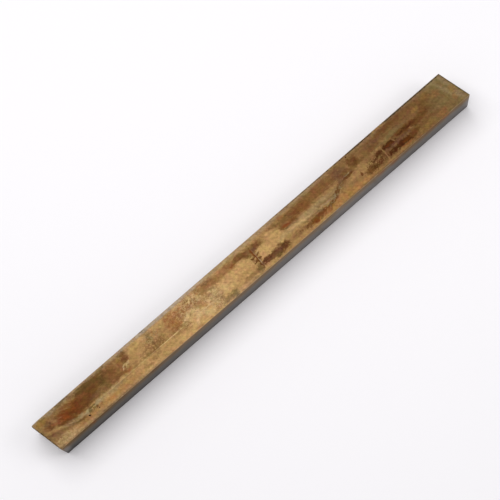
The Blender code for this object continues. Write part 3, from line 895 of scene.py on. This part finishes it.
def ground_steel(name, colours, marks):
    """High-speed steel ground lengthwise with a medium wheel.

    To the eye it is a grey satin with fine lines along the bar, darker toward the left end, which
    is painted shade: the floor's deeper shadow there, as the side reflects it. The heat tint has
    crept over the top edge and fades down the side, and painted shade darkens the foot for the
    shadow where the bar meets the table. The lines are drawn 0.35 mm apart, coarser than the real
    grit's 0.1 mm, so that they show.
    """
    material, tree = start_material(name)
    place = place_in_mm(tree)
    edge = add(tree, "Attribute", out="Fac", attribute_name="edge")
    along = add(tree, "SeparateXYZ", {"Vector": place}, "X")
    height = add(tree, "SeparateXYZ", {"Vector": place}, "Z")
    face = add(tree, "CombineXYZ", {"X": along, "Y": height})

    # Painted shade: the sides darken toward the left end, where the floor they reflect lies in
    # deeper shadow.
    left_shade = add(tree, "MapRange", {"Value": along, "From Min": 40.0, "From Max": -90.0})
    wave = clouds(tree, face, 4.0, stretch=(2, 1, 1), seed=6.0, low=-1.5, high=1.5)
    tint_height = add(tree, "Math", {0: height, 1: wave}, operation='ADD')
    tint = add(tree, "MapRange", {"Value": tint_height, "From Min": 6.0, "From Max": 13.2,
                                  "To Max": 0.9}, interpolation_type='SMOOTHSTEP')
    crest = add(tree, "MapRange", {"Value": edge, "From Max": 0.8, "To Max": 0.3})
    # Painted shade: the foot is darkened in colour and in its reflection, for the shadow where the
    # bar meets the table.
    painted_foot_shade = add(tree, "MapRange", {"Value": height, "From Min": 2.8, "From Max": 0.0,
                                  "To Max": 0.55}, interpolation_type='SMOOTHSTEP')
    colour = layered(tree, rgba(colours, "ground"), (left_shade, rgba(colours, "darker_ground")),
                     (tint, rgba(colours, "side_tint")), (crest, rgba(colours, "worn_edge")),
                     (painted_foot_shade, rgba(colours, "soot_and_foot_shade")))
    colour = marked(tree, colour, colours, marks, face)

    lines = ground_lines(tree, place)
    fine = ground_lines(tree, place, low=0.86, high=1.14)
    broad = clouds(tree, place, 2.2, stretch=(5, 1, 1), seed=5.0, low=-0.14, high=0.14)
    shade = add(tree, "Math", {0: fine, 1: broad}, operation='ADD')
    colour = add(tree, "HueSaturation", {"Value": shade, "Color": colour})
    roughness = ground_lines(tree, place, low=0.28, high=0.42)
    sheen = layered(tree, rgba(colours, "sheen"), (tint, rgba(colours, "tinted_sheen")),
                    (painted_foot_shade, rgba(colours, "soot_and_foot_shade")))
    finish_metal(tree, colour, 1.0, roughness, lines, 0.006, sheen)
    return material


def wheel_cut_steel(name, colours):
    """High-speed steel cut off by an abrasive wheel.

    To the eye it is a dull grey with shallow arcs from the wheel and a brownish burn.
    """
    material, tree = start_material(name)
    place = place_in_mm(tree)
    edge = add(tree, "Attribute", out="Fac", attribute_name="edge")
    # The wheel stood behind and above the bar, and each of its marks is an arc about its hub
    wheel_hub = (0.0, 60.0, 165.0)
    from_hub = add(tree, "VectorMath", {0: place, 1: wheel_hub}, operation='SUBTRACT')
    in_plane = add(tree, "VectorMath", {0: from_hub, 1: (0, 1, 1)}, operation='MULTIPLY')
    radius = add(tree, "VectorMath", {0: in_plane}, operation='LENGTH')
    arcs = add(tree, "TexNoise", {"W": radius, "Scale": 2.2, "Detail": 4.0, "Roughness": 0.7},
               noise_dimensions='1D')
    burn = clouds(tree, place, 5.0, seed=4.0, low=-0.3, high=0.8)
    crest = add(tree, "MapRange", {"Value": edge, "From Max": 0.8, "To Max": 0.7})
    colour = layered(tree, rgba(colours, "cut"), (burn, rgba(colours, "burn")),
                     (crest, rgba(colours, "dark_edge")))
    shade = add(tree, "MapRange", {"Value": arcs, "From Min": 0.25, "From Max": 0.75,
                                   "To Min": 0.8, "To Max": 1.15})
    colour = add(tree, "HueSaturation", {"Value": shade, "Color": colour})
    roughness = clouds(tree, place, 1.0, low=0.42, high=0.56)
    finish_metal(tree, colour, 1.0, roughness, arcs, 0.03, rgba(colours, "sheen"))
    return material


def cuts(half, radius, spacing, steps, extra=()):
    """Where the mesh is cut along one axis: each cut's share of the flat and of the rounding."""
    flat = half - radius
    places = set(np.round(np.linspace(-flat, flat, max(2, round(2 * flat / spacing) + 1)), 7))
    places.update(p for p in np.round(extra, 7) if abs(p) < flat)
    rim = min(RIM_STRIP * MM, flat / 4)
    places.update((rim - flat, flat - rim))
    shares = [p / flat for p in sorted(places)]
    rounding = [(n + 1) / steps for n in range(steps)]
    flat_share = [-1.0] * steps + shares + [1.0] * steps
    round_share = [-r for r in reversed(rounding)] + [0.0] * len(shares) + rounding
    return np.array(flat_share), np.array(round_share)


def box_surface(counts):
    """Numbered places on a box's surface, the faces between them and the side of each face.

    A side is its axis and whether it is the high one. The faces are turned outward.
    """
    numbers = {}
    faces = []
    sides = []
    for axis in range(3):
        across, up = (axis + 1) % 3, (axis + 2) % 3
        for high in (False, True):
            for a in range(counts[across] - 1):
                for b in range(counts[up] - 1):
                    corners = []
                    for da, db in ((0, 0), (1, 0), (1, 1), (0, 1)):
                        place = [0, 0, 0]
                        place[axis] = counts[axis] - 1 if high else 0
                        place[across] = a + da
                        place[up] = b + db
                        corners.append(numbers.setdefault(tuple(place), len(numbers)))
                    faces.append(corners if high else corners[::-1])
                    sides.append((axis, high))
    return np.array(list(numbers)), faces, sides


def bell(distance, reach):
    """A smooth hump: 1 at the middle and 0 from reach outward."""
    return max(0.0, 1.0 - (distance / reach) ** 2) ** 2


def edge_radii(shape, half, x, y, back, top, left):
    """The rounding of the ends and of the long edges at a place, in metres."""
    # The steps in the second and third place give each long edge a line of noise of its own
    wander = noise.noise(Vector((x / (WANDER_GRAIN * MM), 3.0 * back, 5.0 * top)))
    long_radius = shape.long_edge_radius * (1 + shape.radius_wander * wander)
    end_radius = shape.end_edge_radius
    if back and left:
        worn = shape.worn_corner_radius
        long_radius += (worn - long_radius) * bell(half[0] + x, shape.worn_corner_reach)
        end_radius += (worn - end_radius) * bell(half[1] - y, shape.worn_corner_reach)
    return np.array((end_radius, long_radius, long_radius))


def dent_depth(x, back, top):
    """How far a long edge is knocked in at a place along the bar, in metres."""
    depth = 0.0
    for dent in DENTS:
        if dent.back == back and dent.top == top:
            depth += dent.depth * MM * bell(x - dent.x * MM, dent.half_length * MM)
    return depth


def bar_point(shape, half, flat, rounding):
    """One point of the bar's surface, and how far it is around an edge (0 to 1)."""
    left, back, top = flat[0] < 0, flat[1] > 0, flat[2] > 0
    radii = edge_radii(shape, half, flat[0] * half[0], flat[1] * half[1], back, top, left)
    turn = rounding / np.linalg.norm(rounding)
    edge = 0.0
    if np.count_nonzero(rounding) > 1:
        edge = min(1.0, (1.0 - max(abs(turn))) / (1.0 - math.sqrt(0.5)))
    point = flat * (half - radii) + turn * radii
    if rounding[1] and rounding[2]:
        point[1:] -= dent_depth(point[0], back, top) * turn[1:] * edge
    return point, edge


def top_relief(shape, half, x, y, x_square):
    """How far the top is below flat, in metres: the scale's swell and the pits.

    x_square is the place along the bar before its ends are skewed.
    """
    from_edge = min(half[0] - abs(x_square), half[1] - abs(y))
    fade = min(1.0, max(0.0, from_edge / MM - SWELL_MARGIN))
    grain_x, grain_y = SWELL_GRAIN
    swell = noise.noise(Vector((x / (grain_x * MM), y / (grain_y * MM), 0.0)))
    depth = shape.scale_swell * (1.0 - swell) / 2 * fade
    for pit in PITS:
        distance = math.hypot(x - pit.x * MM, y - pit.y * MM)
        depth += pit.depth * MM * bell(distance, pit.radius * MM)
    return depth


def fine_places(skew):
    """Where the mesh is finer than its spacing, along and across the bar, in metres."""
    along = []
    across = []
    for pit in PITS:
        offsets = np.arange(-pit.radius, pit.radius + PIT_SPACING, PIT_SPACING)
        along.extend((pit.x + offsets) * MM + skew * pit.y * MM)
        across.extend((pit.y + offsets) * MM)
    for dent in DENTS:
        offsets = np.arange(-dent.half_length, dent.half_length + DENT_SPACING, DENT_SPACING)
        along.extend((dent.x + offsets) * MM)
    return along, across


def make_bar(shape, colours):
    """The bar as one mesh that fills the frame's box, with its edges, dents and pits."""
    half_y, half_z = HIGH.y, (HIGH.z - LOW.z) / 2
    skew = math.tan(shape.end_skew)
    half = np.array((HIGH.x - skew * half_y, half_y, half_z))
    steps = shape.rounding_steps
    spacing = shape.point_spacing
    fine_along, fine_across = fine_places(skew)
    axes = (
        cuts(half[0], shape.end_edge_radius, spacing, steps, fine_along),
        cuts(half[1], shape.long_edge_radius, spacing, steps, fine_across),
        cuts(half[2], shape.long_edge_radius, spacing * SIDE_SPACING, steps),
    )
    places, faces, sides = box_surface([len(flat) for flat, rounding in axes])
    points = []
    edges = []
    for place in places:
        flat = np.array([axes[a][0][place[a]] for a in range(3)])
        rounding = np.array([axes[a][1][place[a]] for a in range(3)])
        point, edge = bar_point(shape, half, flat, rounding)
        x_square = point[0]
        point[0] -= skew * point[1]
        if place[2] == len(axes[2][0]) - 1:
            point[2] -= top_relief(shape, half, point[0], point[1], x_square)
        point[2] += half_z
        points.append(point)
        edges.append(edge)
    mesh = bpy.data.meshes.new("heat_tinted_bar")
    mesh.from_pydata(points, [], faces)
    # Top, underside, front and back have a material each, and the ends share the last one
    slots = {(2, True): 0, (2, False): 1, (1, False): 2, (1, True): 3}
    mesh.polygons.foreach_set("material_index", [slots.get(side, 4) for side in sides])
    mesh.attributes.new("edge", 'FLOAT', 'POINT').data.foreach_set("value", edges)
    mesh.shade_smooth()
    bar = bpy.data.objects.new("heat_tinted_bar", mesh)
    bpy.context.scene.collection.objects.link(bar)
    for material in (
        heat_tinted_steel("heat_tinted_high_speed_steel", colours, TOP_MARKS),
        heat_tinted_steel("heat_tinted_underside", colours, UNDERSIDE_MARKS),
        ground_steel("ground_high_speed_steel", colours, FRONT_MARKS),
        ground_steel("ground_back_side", colours, BACK_MARKS),
        wheel_cut_steel("wheel_cut_high_speed_steel", colours),
    ):
        mesh.materials.append(material)
    return bar


class TOOLBIT_OT_build_bar(bpy.types.Operator):
    """Build the steel bar with its finish and put it in place of the plain solid"""

    bl_idname = "tool_bit.build_bar"
    bl_label = "Build the bar"

    def execute(self, context):
        bar = make_bar(context.scene.bar_shape, context.scene.steel_colours)
        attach(bar, "root")
        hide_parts(NODE)
        return {'FINISHED'}


def seen(tree):
    """1 where the camera looks at it, directly, in metal or through glass, else 0."""
    shows = add(tree, "LightPath", out="Is Camera Ray")
    for ray in ("Is Glossy Ray", "Is Transmission Ray"):
        shows = add(tree, "Math", {0: shows, 1: add(tree, "LightPath", out=ray)},
                    operation='MAXIMUM')
    return shows


def make_surface(stage):
    """A pale matt board under the bar, far wider than the view.

    Away from the bar it fades to the tone of the sky behind it, so that a low view has no
    dark horizon. It gives off no light there.
    """
    shape = bmesh.new()
    bmesh.ops.create_grid(shape, x_segments=1, y_segments=1, size=stage.surface_size / 2)
    mesh = bpy.data.meshes.new("pale_surface")
    shape.to_mesh(mesh)
    shape.free()
    surface = bpy.data.objects.new("pale_surface", mesh)
    surface.location.z = LOW.z - SURFACE_GAP * MM
    bpy.context.scene.collection.objects.link(surface)
    material, tree = start_material("matt_board")
    board = add(tree, "BsdfPrincipled", {"Base Color": (*stage.surface, 1.0),
                                         "Roughness": 0.9, "Specular IOR Level": 0.2})
    place = add(tree, "TexCoord", out="Object")
    distance = add(tree, "VectorMath", {0: place}, operation='LENGTH')
    away = add(tree, "MapRange", {"Value": distance, "From Min": FADE_START,
                                  "From Max": FADE_END}, interpolation_type='SMOOTHSTEP')
    fade = add(tree, "Math", {0: away, 1: seen(tree)}, operation='MULTIPLY')
    backdrop = add(tree, "Emission", {"Color": (*stage.sky, 1.0), "Strength": stage.sky_seen})
    both = add(tree, "MixShader", {0: fade, 1: board, 2: backdrop})
    add(tree, "OutputMaterial", {"Surface": both})
    mesh.materials.append(material)


def make_sky(stage):
    """Even light from all round. Where it shows, directly or in the metal, it is near white."""
    world = bpy.data.worlds.new("studio")
    world.use_nodes = True
    bpy.context.scene.world = world
    tree = world.node_tree
    tree.nodes.clear()
    strength = add(tree, "MapRange", {"Value": seen(tree), "To Min": stage.sky_light,
                                      "To Max": stage.sky_seen})
    sky = add(tree, "Background", {"Color": (*stage.sky, 1.0), "Strength": strength})
    add(tree, "OutputWorld", {"Surface": sky})


def aimed(place, target):
    """The turn of a lamp or camera that stands at place and looks at target."""
    return (Vector(target) - Vector(place)).to_track_quat('-Z', 'Y')


def make_lamp(name, power, size, place):
    """A square soft lamp that looks at the bar."""
    data = bpy.data.lights.new(name, 'AREA')
    data.shape = 'SQUARE'
    data.size = size
    data.energy = power
    lamp = bpy.data.objects.new(name, data)
    lamp.location = place
    lamp.rotation_mode = 'QUATERNION'
    lamp.rotation_quaternion = aimed(place, (0.0, 0.0, 0.0))
    # The metal already shows the white sky there, and the lamp would show on top of it
    lamp.visible_glossy = False
    bpy.context.scene.collection.objects.link(lamp)


def make_camera(stage):
    """The camera, which looks down on the bar from a little to its front and left."""
    data = bpy.data.cameras.new("camera")
    data.sensor_width = 36.0
    data.lens = stage.lens
    camera = bpy.data.objects.new("camera", data)
    camera.location = stage.camera_place
    camera.rotation_mode = 'QUATERNION'
    roll = Quaternion((0.0, 0.0, 1.0), stage.camera_roll)
    camera.rotation_quaternion = aimed(stage.camera_place, stage.camera_target) @ roll
    bpy.context.scene.collection.objects.link(camera)
    bpy.context.scene.camera = camera


class TOOLBIT_OT_set_stage(bpy.types.Operator):
    """Set the surface, the light and the camera round the bar"""

    bl_idname = "tool_bit.set_stage"
    bl_label = "Set the stage"

    def execute(self, context):
        stage = context.scene.stage_settings
        make_surface(stage)
        make_sky(stage)
        make_lamp("key_lamp", stage.key_power, stage.key_size, stage.key_place)
        make_lamp("fill_lamp", stage.fill_power, stage.fill_size, stage.fill_place)
        make_camera(stage)
        context.scene.view_settings.view_transform = 'Standard'
        return {'FINISHED'}


class TOOLBIT_PT_panel(bpy.types.Panel):
    """Lists what the add-on builds, with its sizes and colours"""

    bl_idname = "TOOLBIT_PT_panel"
    bl_label = "Tool Bit Blank"
    bl_space_type = 'VIEW_3D'
    bl_region_type = 'UI'
    bl_category = "Tool Bit"

    def draw(self, context):
        layout = self.layout
        scene = context.scene
        steps = (
            (TOOLBIT_OT_build_bar, (scene.bar_shape, scene.steel_colours)),
            (TOOLBIT_OT_set_stage, (scene.stage_settings,)),
        )
        for operator, groups in steps:
            layout.operator(operator.bl_idname)
            for group in groups:
                column = layout.column()
                for name in group.bl_rna.properties.keys():
                    if name not in ("name", "rna_type"):
                        column.prop(group, name)


CLASSES = (
    BarShape, SteelColours, StageSettings,
    TOOLBIT_OT_build_bar, TOOLBIT_OT_set_stage, TOOLBIT_PT_panel,
)


def register():
    for cls in CLASSES:
        bpy.utils.register_class(cls)
    bpy.types.Scene.bar_shape = PointerProperty(type=BarShape)
    bpy.types.Scene.steel_colours = PointerProperty(type=SteelColours)
    bpy.types.Scene.stage_settings = PointerProperty(type=StageSettings)


def unregister():
    del bpy.types.Scene.stage_settings
    del bpy.types.Scene.steel_colours
    del bpy.types.Scene.bar_shape
    for cls in reversed(CLASSES):
        bpy.utils.unregister_class(cls)


def main():
    """Build everything in order."""
    register()
    bpy.ops.tool_bit.build_bar()
    bpy.ops.tool_bit.set_stage()


if __name__ == "__main__":
    main()
